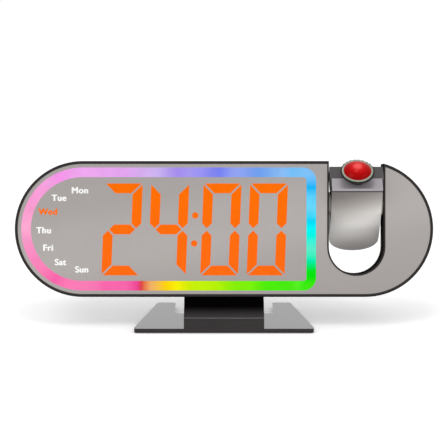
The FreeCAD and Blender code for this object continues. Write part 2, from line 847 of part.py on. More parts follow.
def main_electronics():
    """The main board on the rear cover's standoffs, with what is soldered to it."""
    half = s.main_board_height / 2
    board = prism([rectangle(s.main_board_left, s.main_board_right, -half, half)], main_board_front,
                  main_board_back, circles=[(x, z, s.screw_radius + s.fit_clearance) for x, z in standoff_places()])
    in_head(board, "main_board")
    chip = s.chip_size / 2
    in_head(block(s.chip_x - chip, s.chip_x + chip, main_board_front - s.chip_height, main_board_front,
                  -chip, chip), "clock_chip")
    in_head(block(s.crystal_x, s.crystal_x + s.crystal_length, main_board_back,
                  main_board_back + s.crystal_width, s.button_row, s.button_row + s.crystal_width), "quartz_crystal")
    half = s.switch_width / 2
    in_head(grouped([block(x - half, x + half, main_board_back, main_board_back + s.switch_height,
                           s.button_row - half, s.button_row + half) for x in button_places()]), "button_switches")
    in_head(rod("y", s.buzzer_x, s.buzzer_z, s.buzzer_radius, main_board_back,
                main_board_back + s.buzzer_height), "buzzer")
    socket = less(usb_pill(MIDDLE, main_board_back, s.head_depth - s.usb_sunk),
                  usb_pill(-s.usb_wall, main_board_back + s.usb_base, slot_far))
    in_head(socket, "usb_socket")
    tongue = s.usb_height - s.usb_wall * 2
    in_head(block(s.usb_x - tongue, s.usb_x + tongue, main_board_back + s.usb_base,
                  s.head_depth - s.usb_sunk * 2, s.usb_z - s.usb_wall, s.usb_z + s.usb_wall), "usb_tongue")
    holder_radius = s.cell_radius + s.holder_wall
    holder = less(rod("y", s.door_x, MIDDLE, holder_radius, main_board_back, main_board_back + s.cell_thickness),
                  rod("y", s.door_x, MIDDLE, s.cell_radius + s.fit_clearance, main_board_back - s.cut_past, slot_far))
    in_head(holder, "cell_holder")
    in_head(rod("y", s.door_x, MIDDLE, s.cell_radius, main_board_back, main_board_back + s.cell_thickness),
            "coin_cell")


def battery_door():
    """The round lid over the coin cell, with two lugs that lock under the cover's lip."""
    lip_radius = s.door_radius - s.door_lip
    plug_front = main_board_back + s.cell_thickness + s.fit_clearance
    lid = rod("y", s.door_x, MIDDLE, s.door_radius - s.slide_clearance,
              s.head_depth - s.door_thickness, s.head_depth)
    plug = rod("y", s.door_x, MIDDLE, lip_radius - s.slide_clearance, plug_front, s.head_depth)
    reach_out = lip_radius + s.lug_reach
    half = s.lug_width / 2
    lugs = shared(block(s.door_x - reach_out, s.door_x + reach_out, plug_front, plug_front + s.lug_thickness,
                        -half, half),
                  rod("y", s.door_x, MIDDLE, reach_out, plug_front - s.cut_past, cover_inside))
    half = s.coin_slot_width / 2
    coin_slot = block(s.door_x - s.cell_radius, s.door_x + s.cell_radius, s.head_depth - s.coin_slot_depth,
                      slot_far, -half, half)
    in_head(less(joined(lid, plug, lugs), coin_slot), "battery_door")


def rear_buttons():
    """Five round push buttons with their retaining flanges."""
    names = ("set_button", "up_button", "down_button", "alarm_button", "projection_button")
    tip = s.head_depth + s.button_proud
    soft = s.button_crown
    flange = s.button_radius + s.flange_margin
    for name, x in zip(names, button_places()):
        profile = [(MIDDLE, button_flange_front), (flange, button_flange_front), (flange, button_flange_back),
                   (s.button_radius, button_flange_back), (s.button_radius, tip - soft),
                   (s.button_radius - soft, tip), (MIDDLE, tip)]
        facing(turned(profile), name, x, s.button_row)


def snooze_parts():
    """The long snooze bar let into the top, its two switches and their board."""
    half = s.snooze_width / 2
    crown = s.snooze_crown
    section = [(s.snooze_depth - half, flange_bottom), (s.snooze_depth + half, flange_bottom),
               (s.snooze_depth + half, head_top + s.snooze_proud - crown),
               (s.snooze_depth + half - crown, head_top + s.snooze_proud),
               (s.snooze_depth - half + crown, head_top + s.snooze_proud),
               (s.snooze_depth - half, head_top + s.snooze_proud - crown)]
    bar = prism([section], snooze_left, snooze_right, plane="YZ")
    grip = half + s.snooze_flange
    flange = block(snooze_left - s.flange_margin, snooze_right + s.flange_margin, s.snooze_depth - grip,
                   s.snooze_depth + grip, flange_bottom, flange_bottom + s.flange_thickness)
    in_head(joined(bar, flange), "snooze_bar")
    half = s.switch_width / 2
    places = [s.snooze_centre + side * s.snooze_switch_spread / 2 for side in (-1, 1)]
    in_head(grouped([block(x - half, x + half, s.snooze_depth - half, s.snooze_depth + half, snooze_board_top,
                           snooze_switch_top) for x in places]), "snooze_switches")
    half = s.snooze_board_width / 2
    reach_out = s.flange_margin + s.slide_clearance * 2 + s.snooze_post
    in_head(block(snooze_left - reach_out, snooze_right + reach_out, s.snooze_depth - half,
                  s.snooze_depth + half, snooze_board_top - s.board_thickness, snooze_board_top), "snooze_board")


def screws(places, head_start, shaft_tip, axis="y"):
    """Pan head screws along an axis: each head starts at a height and its shaft ends at another."""
    solids = []
    for first, second in places:
        step = s.screw_head_height if head_start.value > shaft_tip.value else -s.screw_head_height
        low, high = (head_start, head_start + step) if step.value > 0 else (head_start + step, head_start)
        head = rod(axis, first, second, s.screw_head_radius, low, high)
        low, high = (shaft_tip, head_start) if step.value > 0 else (head_start, shaft_tip)
        shaft = rod(axis, first, second, s.screw_radius, low, high)
        solids.append(joined(head, shaft))
    return grouped(solids)


def head_screws():
    """Screws that close the head, hold its main board and fix it to the stand."""
    head_seat = s.head_depth - s.screw_head_height - s.fit_clearance
    in_head(screws(boss_places(), head_seat, head_seat - s.screw_length), "case_screws")
    in_head(screws(standoff_places(), main_board_front, main_board_front + s.board_screw_length), "board_screws")
    places = [(x, s.stand_screw_depth) for x in stand_screw_places()]
    seat = -head_top - s.plate_thickness
    in_head(screws(places, seat, seat + s.stand_screw_length, axis="z"), "stand_screws")


# Projector arm, drawn about its pivot: x along the pivot, y from front to back, z from tail to lens

arm_half = s.arm_width / 2
arm_face = s.arm_thickness / 2
cap_bottom = s.arm_top - s.cap_length
optics_radius = s.optics_bore + s.optics_wall
collar_bottom = s.arm_top + s.slide_clearance
collar_top = collar_bottom + s.focus_height


def arm_outline(inset, top):
    """The arm seen from the front: straight sides and a round tail."""
    half = arm_half - inset
    centre_v = arm_half - s.arm_tail
    return [(-half, top), (-half, centre_v, MIDDLE, centre_v, "left", "v"), (half, centre_v), (half, top)]


def arm_blank(inset, top):
    """The arm's outer form, inset at the sides, the tail and the back."""
    return shared(prism([arm_outline(inset, top)], -s.arm_thickness, s.arm_thickness),
                  rod("x", s.cover_crown_radius - arm_face, s.cover_crown_height, s.cover_crown_radius,
                      -arm_half - s.cut_past, arm_half + s.cut_past),
                  rod("x", arm_face - s.back_crown_radius, s.back_crown_height, s.back_crown_radius - inset,
                      -arm_half - s.cut_past, arm_half + s.cut_past))


def behind_cover():
    """All that lies behind the front cover's inner face."""
    return rod("x", s.cover_crown_radius - arm_face, s.cover_crown_height,
               s.cover_crown_radius - s.cover_skin, -s.arm_width, s.arm_width)


def optics_rod(radius, start, end):
    """A round length about the optical axis."""
    return rod("z", MIDDLE, MIDDLE, radius, start, end)


def side_screw_places():
    """The two screws beside the optics, seen from behind."""
    return [(side * s.side_screw_spread / 2, s.side_screw_place) for side in (1, -1)]


def cover_hole_tip(height):
    """How far forward a screw reaches at a height on the arm, short of the cover's face."""
    rise = height - s.cover_crown_height
    inner = s.cover_crown_radius - s.cover_skin
    face = s.cover_crown_radius - arm_face - root(inner * inner - rise * rise)
    return face - s.cover_grip


def arm_screw_rods(radius, margin):
    """The shafts of the three arm screws, or the holes for them."""
    rods = [rod("y", x, z, radius, cover_hole_tip(s.side_screw_place) - margin, s.side_screw_seat + margin)
            for x, z in side_screw_places()]
    rods.append(rod("y", MIDDLE, s.tail_screw_place, radius, cover_hole_tip(s.tail_screw_place) - margin,
                    s.tail_screw_seat + margin))
    return rods


def arm_covers():
    """The metallic front cover, the end cap and the dark rear shell."""
    cover = less(arm_blank(MIDDLE, cap_bottom), behind_cover(), *arm_screw_rods(s.screw_radius, MIDDLE),
                 optics_rod(optics_radius + s.fit_clearance, MIDDLE, cap_bottom))
    in_arm(cover, "arm_front_cover")
    cap_zone = block(-s.arm_width, s.arm_width, -s.arm_width, MIDDLE, cap_bottom, s.arm_top + s.cut_past)
    cap = less(shared(arm_blank(MIDDLE, s.arm_top), cap_zone), optics_rod(s.optics_bore, MIDDLE, collar_top))
    in_arm(cap, "arm_end_cap")
    cap_zone = block(-s.arm_width, s.arm_width, -s.arm_width, MIDDLE, cap_bottom, s.arm_top + s.cut_past)
    shell = less(shared(arm_blank(MIDDLE, s.arm_top), behind_cover()), cap_zone)
    hollow = less(arm_blank(s.arm_wall, cap_bottom), block(-s.arm_width, s.arm_width, -s.arm_width, s.arm_width,
                                                          cap_bottom, s.arm_top))
    cheek = s.cheek_width / 2
    cheeks = less(block(-cheek, cheek, MIDDLE, arm_face - s.fit_clearance, s.arm_top - s.cheek_length, s.arm_top),
                  block(-arm_half + s.arm_wall, arm_half - s.arm_wall, -s.cut_past, s.arm_width,
                        s.arm_top - s.cheek_length - s.cut_past, cap_bottom))
    bosses = [rod("y", x, z, s.side_boss_radius, -arm_face, s.side_screw_seat) for x, z in side_screw_places()]
    bosses.append(rod("y", MIDDLE, s.tail_screw_place, s.tail_boss_radius, -arm_face, s.tail_screw_seat))
    built = joined(less(shell, hollow), cheeks, shared(joined(*bosses), behind_cover()))
    head_seats = [rod("y", x, z, s.screw_head_radius + s.fit_clearance, s.side_screw_seat, s.arm_width)
                  for x, z in side_screw_places()]
    head_seats.append(rod("y", MIDDLE, s.tail_screw_place, s.screw_head_radius + s.fit_clearance,
                          s.tail_screw_seat, s.arm_width))
    pins = rod("x", MIDDLE, MIDDLE, s.pin_radius, -s.arm_width, s.arm_width)
    in_arm(less(built, *head_seats, *arm_screw_rods(s.screw_radius, s.fit_clearance), pins,
                optics_rod(s.optics_bore, MIDDLE, collar_top)), "arm_rear_shell")


def arm_optics():
    """The projector inside the arm: lamp on its board, condenser, display film and their barrel."""
    barrel = less(optics_rod(optics_radius, s.optics_start, cap_bottom),
                  optics_rod(s.optics_bore, s.optics_start - s.cut_past, s.arm_top))
    in_arm(barrel, "optics_barrel")
    in_arm(optics_rod(optics_radius, s.optics_start - s.board_thickness, s.optics_start), "projector_board")
    half = s.lamp_size / 2
    in_arm(block(-half, half, -half, half, s.optics_start, s.optics_start + s.lamp_height), "projector_lamp")
    inside = s.optics_bore - s.running_clearance
    edge = s.condenser_place + s.condenser_edge
    radius = (inside * inside + s.condenser_rise * s.condenser_rise) / (s.condenser_rise * 2)
    peak = edge + s.condenser_rise
    lens = turned([(MIDDLE, s.condenser_place), (inside, s.condenser_place),
                   (inside, edge, MIDDLE, peak - radius, "left", "u"), (MIDDLE, peak)])
    in_arm(lens, "condenser_lens")
    in_arm(optics_rod(inside, s.film_place, s.film_place + s.film_thickness), "display_film")


def focus_parts():
    """The focus ring, a flared collar that turns on a sleeve in the barrel, and the domed lens in it."""
    outer = s.optics_bore - s.running_clearance
    inner = outer - s.focus_wall
    seat = collar_top - s.lens_seat
    seat_radius = s.lens_radius
    step = collar_top - s.focus_lip_height
    ring = turned([(inner, s.arm_top - s.focus_sleeve_length), (outer, s.arm_top - s.focus_sleeve_length),
                   (outer, collar_bottom), (s.focus_radius, step - s.focus_grip_height),
                   (s.focus_radius, step), (s.focus_lip_radius, step), (s.focus_lip_radius, collar_top),
                   (seat_radius, collar_top), (seat_radius, seat), (inner, seat)])
    grips = []
    for number in range(int(s.grip_count.value)):
        angle = 2 * math.pi * number / s.grip_count.value
        grips.append(rod("z", s.focus_radius * math.cos(angle), s.focus_radius * math.sin(angle), s.grip_radius,
                         collar_bottom, step + s.cut_past))
    in_arm(less(ring, *grips), "focus_ring")
    radius = (s.lens_radius * s.lens_radius + s.lens_rise * s.lens_rise) / (s.lens_rise * 2)
    peak = collar_top + s.lens_rise
    dome = turned([(MIDDLE, seat), (s.lens_radius, seat),
                   (s.lens_radius, collar_top, MIDDLE, peak - radius, "left", "u"), (MIDDLE, peak)])
    in_arm(dome, "projection_lens")


def arm_pivot():
    """The two pivot pins, the washers that hold the arm where it is put, and the arm's screws."""
    pins, washers = [], []
    for side in (1, -1):
        wall_outside = half_slot + s.slot_wall + s.slide_clearance
        spans = [(s.pin_radius, arm_half - s.pin_grip, wall_outside),
                 (s.pin_head_radius, wall_outside, wall_outside + s.pin_head_thickness)]
        rods = []
        for radius, near, far in spans:
            low, high = (near, far) if side > 0 else (-far, -near)
            rods.append(rod("x", MIDDLE, MIDDLE, radius, low, high))
        pins.append(joined(*rods))
        near = arm_half + s.running_clearance
        far = half_slot - s.running_clearance
        low, high = (near, far) if side > 0 else (-far, -near)
        washers.append(less(rod("x", MIDDLE, MIDDLE, s.washer_radius, low, high),
                            rod("x", MIDDLE, MIDDLE, s.pin_radius + s.running_clearance, low - s.cut_past, high + s.cut_past)))
    in_arm(grouped(pins), "pivot_pins")
    in_arm(grouped(washers), "friction_washers")
    heads = [rod("y", x, z, s.screw_head_radius, s.side_screw_seat, s.side_screw_seat + s.screw_head_height)
             for x, z in side_screw_places()]
    heads.append(rod("y", MIDDLE, s.tail_screw_place, s.screw_head_radius, s.tail_screw_seat,
                     s.tail_screw_seat + s.screw_head_height))
    shafts = arm_screw_rods(s.screw_radius, MIDDLE)
    in_arm(grouped([joined(head, shaft) for head, shaft in zip(heads, shafts)]), "arm_screws")


# Stand, drawn where it stands

plate_front = -s.plate_depth / 2
plate_back = s.plate_depth / 2
plate_top = s.foot_proud + s.plate_thickness


def underside(depth):
    """The place on the head's underside at a depth behind its face, as it stands."""
    return (plate_front + s.head_setback + depth * cosine(s.lean_angle),
            s.foot_proud + s.head_clearance - depth * sine(s.lean_angle))


def foot_places():
    """Middles of the four feet."""
    front = (s.plate_front_width / 2 - s.foot_inset, plate_front + s.foot_inset)
    back = (s.notch_width / 2 + s.foot_radius + s.foot_margin, plate_back - s.foot_inset)
    return [(x * side, y) for x, y in (front, back) for side in (1, -1)]


def neck_outline():
    """The neck from the side: up from the plate's front edge, over a bend and back under the head."""
    thick = s.plate_thickness
    bend = (plate_front, s.foot_proud + s.neck_bend_height)
    start = underside(s.neck_pad_start)
    end = underside(s.neck_pad_start + s.neck_pad_length)
    run, rise = start[0] - bend[0], start[1] - bend[1]
    length = root(run * run + rise * rise)
    slope = (rise / length, -run / length)
    pad = (-sine(s.lean_angle), -cosine(s.lean_angle))
    at_bend = thick / (1 + slope[0])
    at_pad = thick / (1 + slope[0] * pad[0] + slope[1] * pad[1])
    return [(plate_front, plate_top - thick / 2), (plate_front + thick, plate_top - thick / 2),
            (bend[0] + (1 + slope[0]) * at_bend, bend[1] + slope[1] * at_bend),
            (start[0] + (slope[0] + pad[0]) * at_pad, start[1] + (slope[1] + pad[1]) * at_pad),
            (end[0] + pad[0] * thick, end[1] + pad[1] * thick), end, start, bend]


def passes_through(y, z):
    """A test for edges that run along X through a place."""
    def chosen(edge):
        box = edge.BoundBox
        flat = box.YLength < 1e-4 and box.ZLength < 1e-4
        return flat and abs(box.YMin - y.value) < 1e-4 and abs(box.ZMin - z.value) < 1e-4
    return chosen


def is_upright(edge):
    """A test for edges that stand on the plate."""
    box = edge.BoundBox
    return box.XLength < 1e-4 and box.YLength < 1e-4


def stand():
    """The plate with its notched back edge and the neck bent up from its front edge."""
    front, back = s.plate_front_width / 2, s.plate_back_width / 2
    notch, notch_front = s.notch_width / 2, plate_back - s.notch_depth
    plate = prism([[(-front, plate_front), (front, plate_front), (back, plate_back), (notch, plate_back),
                    (notch, notch_front), (-notch, notch_front), (-notch, plate_back), (-back, plate_back)]],
                  s.foot_proud, plate_top, plane="XY")
    plate = rounded(plate, s.plate_corner, is_upright)
    outline = neck_outline()
    neck = prism([outline], -s.neck_width / 2, s.neck_width / 2, plane="YZ")
    neck = rounded(neck, s.neck_bend_radius, passes_through(*outline[7]))
    neck = rounded(neck, s.neck_bend_radius - s.plate_thickness, passes_through(*outline[2]))
    holes = [rod("z", x, y, s.foot_radius + s.fit_clearance, s.foot_proud - s.cut_past, s.foot_proud + s.foot_recess)
             for x, y in foot_places()]
    for x in stand_screw_places():
        hole = rod("z", x, MIDDLE, s.screw_radius + s.fit_clearance, MIDDLE, s.plate_thickness * 3)
        y, z = underside(s.stand_screw_depth)
        place(hole, x, y - sine(s.lean_angle) * s.plate_thickness * 1.5,
              z - cosine(s.lean_angle) * s.plate_thickness * 1.5, HEAD_ANGLE)
        holes.append(hole)
    keep(less(joined(plate, neck), *holes), "stand")


def rubber_feet():
    """Four feet let into the plate."""
    keep(grouped([rod("z", x, y, s.foot_radius, MIDDLE, s.foot_proud + s.foot_recess) for x, y in foot_places()]),
         "rubber_feet")


# Make every piece, check it and write it

for make in (front_housing, rear_cover, mirror_panel, light_inlays, display_reflector, display_electronics,
             main_electronics, battery_door, rear_buttons, snooze_parts, head_screws, arm_covers, arm_optics,
             focus_parts, arm_pivot, stand, rubber_feet):
    make()
doc.recompute()

for item in doc.Objects:
    if "Invalid" in item.State or "Error" in item.State:
        raise RuntimeError("%s did not build" % item.Label)
for item in NODES:
    if item.Shape.isNull() or not item.Shape.isValid():
        raise RuntimeError("%s has no sound shape" % item.Label)

os.makedirs("parts", exist_ok=True)
for item in NODES:
    item.Shape.exportStep(os.path.join("parts", item.Label + ".step"))
print("%d nodes written" % len(NODES))
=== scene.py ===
"""Looks of a projection alarm clock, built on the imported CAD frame."""

import math

import bpy
import bmesh
from mathutils import Matrix, Vector


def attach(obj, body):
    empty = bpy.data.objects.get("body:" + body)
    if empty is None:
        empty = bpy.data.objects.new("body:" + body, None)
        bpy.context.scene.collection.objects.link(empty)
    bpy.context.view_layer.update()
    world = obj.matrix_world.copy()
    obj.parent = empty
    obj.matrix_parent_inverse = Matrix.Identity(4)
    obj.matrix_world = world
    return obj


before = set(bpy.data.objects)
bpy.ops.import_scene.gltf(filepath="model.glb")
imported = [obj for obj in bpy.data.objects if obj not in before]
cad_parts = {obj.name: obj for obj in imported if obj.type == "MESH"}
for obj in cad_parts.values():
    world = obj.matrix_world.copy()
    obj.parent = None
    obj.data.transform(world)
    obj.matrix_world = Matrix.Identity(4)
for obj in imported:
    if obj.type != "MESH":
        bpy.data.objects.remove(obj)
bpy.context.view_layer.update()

MM = 0.001
LEAN = math.radians(12.5)
FACE_CENTRE = Vector((0.0, -3.966 * MM, 46.330 * MM))
ARM_PIVOT = Vector((63.2 * MM, 6.485 * MM, 56.509 * MM))
ARM_SWING = math.radians(32.5)
LIP_FOOT = 21.55 * MM
CAP_SEAM = 15.2 * MM
RING_END_CENTRE = -67.5 * MM
NOISE_LOW = 0.3
NOISE_HIGH = 0.7

head = Matrix.Translation(FACE_CENTRE) @ Matrix.Rotation(-LEAN, 4, "X")


# Colour and node helpers


def srgb(red, green, blue):
    """The linear colour of an sRGB colour given as 0 to 255."""
    return tuple(
        c / 12.92 if c <= 0.04045 else ((c + 0.055) / 1.055) ** 2.4
        for c in (red / 255, green / 255, blue / 255)
    ) + (1.0,)


def shade(colour, amount):
    """A linear colour made lighter or darker by a factor."""
    return tuple(min(1.0, c * amount) for c in colour[:3]) + (1.0,)


class Finish:
    """A procedural material: one Principled shader, fed in the coordinates of one frame."""

    def __init__(self, name, origin=(0, 0, 0), turn=0.0):
        self.material = bpy.data.materials.new(name)
        self.material.use_nodes = True
        self.nodes = self.material.node_tree.nodes
        self.links = self.material.node_tree.links
        self.nodes.clear()
        output = self.nodes.new("ShaderNodeOutputMaterial")
        self.shader = self.nodes.new("ShaderNodeBsdfPrincipled")
        self.links.new(self.shader.outputs["BSDF"], output.inputs["Surface"])
        rest = self.nodes.new("ShaderNodeTexCoord")
        local = self.nodes.new("ShaderNodeMapping")
        local.vector_type = "TEXTURE"
        local.inputs["Location"].default_value = origin
        local.inputs["Rotation"].default_value = (turn, 0, 0)
        self.links.new(rest.outputs["Object"], local.inputs["Vector"])
        self.place = local.outputs["Vector"]
        split = self.nodes.new("ShaderNodeSeparateXYZ")
        self.links.new(self.place, split.inputs["Vector"])
        self.x, self.y, self.z = split.outputs

    def put(self, socket, value):
        """Links an output to a socket, or sets it to a number or colour."""
        if isinstance(value, bpy.types.NodeSocket):
            self.links.new(value, socket)
        else:
            socket.default_value = value

    def feed(self, **values):
        """Sets or links sockets of the shader, named with underscores for spaces."""
        for name, value in values.items():
            socket = name.replace("_", " ").title().replace("Ior", "IOR")
            self.put(self.shader.inputs[socket], value)
        return self

    def calc(self, operation, first, second=0.0, clamp=False):
        node = self.nodes.new("ShaderNodeMath")
        node.operation = operation
        node.use_clamp = clamp
        self.put(node.inputs[0], first)
        self.put(node.inputs[1], second)
        return node.outputs[0]

    def spread(self, value, low, high, to_low=0.0, to_high=1.0, smooth=False):
        """The value moved from the range low to high into to_low to to_high."""
        node = self.nodes.new("ShaderNodeMapRange")
        node.interpolation_type = "SMOOTHSTEP" if smooth else "LINEAR"
        for socket, number in zip(node.inputs[:5], (value, low, high, to_low, to_high)):
            self.put(socket, number)
        return node.outputs[0]

    def noise(self, size, detail=3.0, stretch=(1, 1, 1)):
        """Noise whose features are about size metres across."""
        scaled = self.nodes.new("ShaderNodeMapping")
        scaled.inputs["Scale"].default_value = stretch
        self.links.new(self.place, scaled.inputs["Vector"])
        node = self.nodes.new("ShaderNodeTexNoise")
        self.links.new(scaled.outputs["Vector"], node.inputs["Vector"])
        node.inputs["Scale"].default_value = 1 / size
        node.inputs["Detail"].default_value = detail
        return node.outputs[0]

    def ramp(self, value, stops, easing="LINEAR"):
        """A colour ramp through (position, colour) stops."""
        node = self.nodes.new("ShaderNodeValToRGB")
        node.color_ramp.interpolation = easing
        points = node.color_ramp.elements
        points.remove(points[1])
        points[0].position, points[0].color = stops[0]
        for position, colour in stops[1:]:
            points.new(position).color = colour
        self.put(node.inputs[0], value)
        return node.outputs[0]

    def vary(self, low, high, *pattern):
        """A value that wanders from low to high over noise of that pattern."""
        return self.spread(self.noise(*pattern), NOISE_LOW, NOISE_HIGH, low, high)

    def mottle(self, size, dark, light):
        """A colour that wanders between two linear colours."""
        return self.ramp(self.noise(size), [(NOISE_LOW, dark), (NOISE_HIGH, light)])

    def multiply(self, colour, factor):
        return self.blend(1.0, colour, factor, "MULTIPLY")

    def blend(self, factor, first, second, mode="MIX"):
        node = self.nodes.new("ShaderNodeMix")
        node.data_type = "RGBA"
        node.blend_type = mode
        self.put(node.inputs[0], factor)
        self.put(node.inputs[6], first)
        self.put(node.inputs[7], second)
        return node.outputs[2]

    def bump(self, height, strength, depth):
        node = self.nodes.new("ShaderNodeBump")
        node.inputs["Strength"].default_value = strength
        node.inputs["Distance"].default_value = depth
        self.put(node.inputs["Height"], height)
        self.links.new(node.outputs["Normal"], self.shader.inputs["Normal"])


def ramp_of(finish, value, low, high, places, easing="LINEAR"):
    """A colour ramp whose stops are given by where they lie between low and high."""
    stops = sorted(
        ((place - low) / (high - low), srgb(*colour)) for place, colour in places
    )
    return finish.ramp(finish.spread(value, low * MM, high * MM), stops, easing)


def surface(name, colour, rough, uneven=0.05, grain=0.0, size=1.2 * MM, **sockets):
    """A finish in one colour, slightly uneven in tone and gloss, and grained if asked for."""
    finish = Finish(name)
    base = srgb(*colour)
    tone = finish.mottle(14 * MM, shade(base, 1 - uneven), shade(base, 1 + uneven))
    gloss = finish.vary(rough * 0.9, rough * 1.1, 6 * MM, 5.0)
    finish.feed(base_color=tone, roughness=gloss, **sockets)
    if grain:
        finish.bump(finish.noise(size, 2.0), grain, 0.05 * MM)
    return finish.material


# Finishes of the face: panel, light ring and figures


HIGHLIGHT_BAND_SLOPE = 0.17
FIGURE_SPAN = 22 * MM


def head_finish(name):
    return Finish(name, FACE_CENTRE, -LEAN)


def half_mirror():
    """Grey mirror glass with a painted highlight: a slightly lighter slanting band painted
    into its colour.
    """
    finish = head_finish("half_mirror")
    # Painted highlight: the colour is lighter along a slanting band across the panel.
    highlight_band = finish.calc("SUBTRACT", finish.z, finish.calc("MULTIPLY", finish.x, HIGHLIGHT_BAND_SLOPE))
    tone = ramp_of(
        finish, highlight_band, -45, 45,
        [
            (-44, (155, 150, 147)),
            (-24, (159, 154, 151)),
            (-4, (168, 163, 160)),
            (8, (166, 161, 158)),
            (26, (158, 153, 150)),
            (44, (156, 151, 148)),
        ],
        "EASE",
    )
    cloudy = finish.vary(0.985, 1.015, 30 * MM)
    tone = finish.multiply(tone, cloudy)
    gloss = finish.vary(0.10, 0.14, 9 * MM, 5.0)
    return finish.feed(base_color=tone, metallic=0.55, roughness=gloss).material


def ring_light():
    """The ring's colours, one ramp for each side and one round the left end."""
    finish = head_finish("ring_light")
    top = ramp_of(
        finish, finish.x, -68, 44,
        [
            (-64, (240, 169, 242)),
            (-47, (228, 165, 241)),
            (-33, (207, 182, 242)),
            (-22, (166, 141, 241)),
            (-16, (167, 154, 243)),
            (-2, (120, 130, 245)),
            (5, (150, 165, 245)),
            (17, (110, 160, 240)),
            (28, (140, 190, 247)),
            (32, (118, 190, 248)),
            (40, (125, 195, 247)),
        ],
    )
    bottom = ramp_of(
        finish, finish.x, -68, 44,
        [
            (-67, (253, 126, 184)),
            (-61, (250, 119, 180)),
            (-57, (250, 102, 173)),
            (-47, (250, 103, 175)),
            (-41.5, (238, 70, 150)),
            (-39.5, (228, 66, 62)),
            (-35, (243, 178, 104)),
            (-28.5, (255, 207, 10)),
            (-22, (248, 243, 0)),
            (-14.5, (198, 241, 6)),
            (-5, (188, 244, 4)),
            (5, (134, 241, 4)),
            (13, (120, 243, 6)),
            (20, (76, 238, 6)),
            (31, (70, 240, 10)),
            (35, (86, 240, 32)),
            (41, (0, 234, 4)),
        ],
    )
    right = ramp_of(
        finish, finish.z, -27, 27,
        [
            (-26.5, (60, 239, 10)),
            (-23, (0, 234, 6)),
            (-20, (0, 230, 22)),
            (-17.5, (0, 235, 112)),
            (-15, (0, 240, 178)),
            (-9.5, (92, 241, 206)),
            (-3.6, (4, 245, 225)),
            (0, (2, 250, 250)),
            (4, (2, 218, 253)),
            (10, (104, 218, 254)),
            (15.5, (92, 210, 254)),
            (20, (6, 184, 253)),
            (26, (126, 192, 248)),
        ],
    )
    turn = finish.calc(
        "ARCTAN2", finish.z, finish.calc("SUBTRACT", RING_END_CENTRE, finish.x)
    )
    turn = finish.spread(turn, math.pi / 2, -math.pi / 2)
    left = finish.ramp(
        turn,
        [
            (0.0, srgb(240, 167, 242)),
            (0.07, srgb(246, 162, 240)),
            (0.14, srgb(246, 146, 232)),
            (0.2, srgb(246, 163, 226)),
            (0.28, srgb(250, 158, 217)),
            (0.38, srgb(253, 158, 211)),
            (0.5, srgb(255, 170, 211)),
            (0.61, srgb(250, 142, 197)),
            (0.74, srgb(253, 130, 186)),
            (0.84, srgb(254, 103, 174)),
            (0.9, srgb(252, 120, 181)),
            (1.0, srgb(253, 126, 184)),
        ],
    )
    above = finish.spread(finish.z, -4 * MM, 4 * MM)
    sides = finish.blend(above, bottom, top)
    beyond = finish.spread(finish.x, 37.5 * MM, 39.5 * MM, smooth=True)
    sides = finish.blend(beyond, sides, right)
    before = finish.spread(finish.x, -66.5 * MM, -68.5 * MM)
    colour = finish.blend(before, sides, left)
    spots = finish.vary(0.96, 1.04, 7 * MM, 1.0)
    colour = finish.multiply(colour, spots)
    return finish.feed(
        base_color=srgb(6, 6, 6), roughness=0.35, specular_ior_level=0.0,
        emission_color=colour, emission_strength=0.98,
    ).material


def lit(name, low, high, span, strength=1.0):
    """A glowing finish whose colour runs from low to high up the face."""
    finish = head_finish(name)
    tone = finish.blend(
        finish.spread(finish.z, -span, span, smooth=True), srgb(*low), srgb(*high)
    )
    spots = finish.vary(0.97, 1.03, 5 * MM, 1.0)
    tone = finish.multiply(tone, spots)
    return finish.feed(
        base_color=srgb(8, 5, 3), roughness=0.4, specular_ior_level=0.0,
        emission_color=tone, emission_strength=strength,
    ).material


# Finishes of the projector arm


# Colour of the painted shade along the seam between the arm's front cover and its end cap.
SEAM_SHADE = srgb(44, 41, 40)
SHEEN_SLOPE = 0.28


def arm_metal():
    """Satin metal with a painted highlight: one broad bright band across the curve of the
    arm, fading to painted shade at both ends, and painted shade along the seam.
    """
    finish = Finish("arm_metal", ARM_PIVOT, ARM_SWING)
    slant = finish.calc("MULTIPLY", finish.x, SHEEN_SLOPE)
    along = finish.calc("SUBTRACT", finish.z, slant)
    # Painted highlight and shade: the colour runs dark, bright, then dark again across the
    # curve of the arm.
    tone = ramp_of(
        finish, along, -32, 18,
        [
            (-31, (120, 114, 111)),
            (-25, (146, 140, 137)),
            (-18, (206, 201, 197)),
            (-11, (250, 247, 244)),
            (-7, (252, 250, 247)),
            (-3, (240, 236, 232)),
            (4, (176, 171, 167)),
            (11, (126, 120, 117)),
            (16, (102, 96, 93)),
        ],
        "B_SPLINE",
    )
    brushed = finish.noise(0.9 * MM, 2.0, (0.04, 1, 1))
    tone = finish.multiply(tone, finish.spread(brushed, NOISE_LOW, NOISE_HIGH, 0.98, 1.02))
    # Painted shade: a dark line where the front cover meets the end cap.
    seam_shadow = finish.spread(finish.z, CAP_SEAM - 0.55 * MM, CAP_SEAM - 0.25 * MM)
    tone = finish.blend(seam_shadow, tone, SEAM_SHADE)
    gloss = finish.spread(brushed, NOISE_LOW, NOISE_HIGH, 0.3, 0.36)
    finish.feed(base_color=tone, metallic=0.15, roughness=gloss)
    return finish.material


def arm_cap():
    """Satin grey metal, with painted shade along the seam where it meets the front cover."""
    finish = Finish("arm_cap", ARM_PIVOT, ARM_SWING)
    tone = finish.mottle(12 * MM, srgb(150, 145, 150), srgb(160, 155, 160))
    # Painted shade: a dark line along the seam with the front cover.
    seam_shadow = finish.spread(finish.z, CAP_SEAM + 0.45 * MM, CAP_SEAM + 0.15 * MM)
    gloss = finish.vary(0.32, 0.38, 5 * MM)
    colour = finish.blend(seam_shadow, tone, SEAM_SHADE)
    return finish.feed(base_color=colour, metallic=0.2, roughness=gloss).material


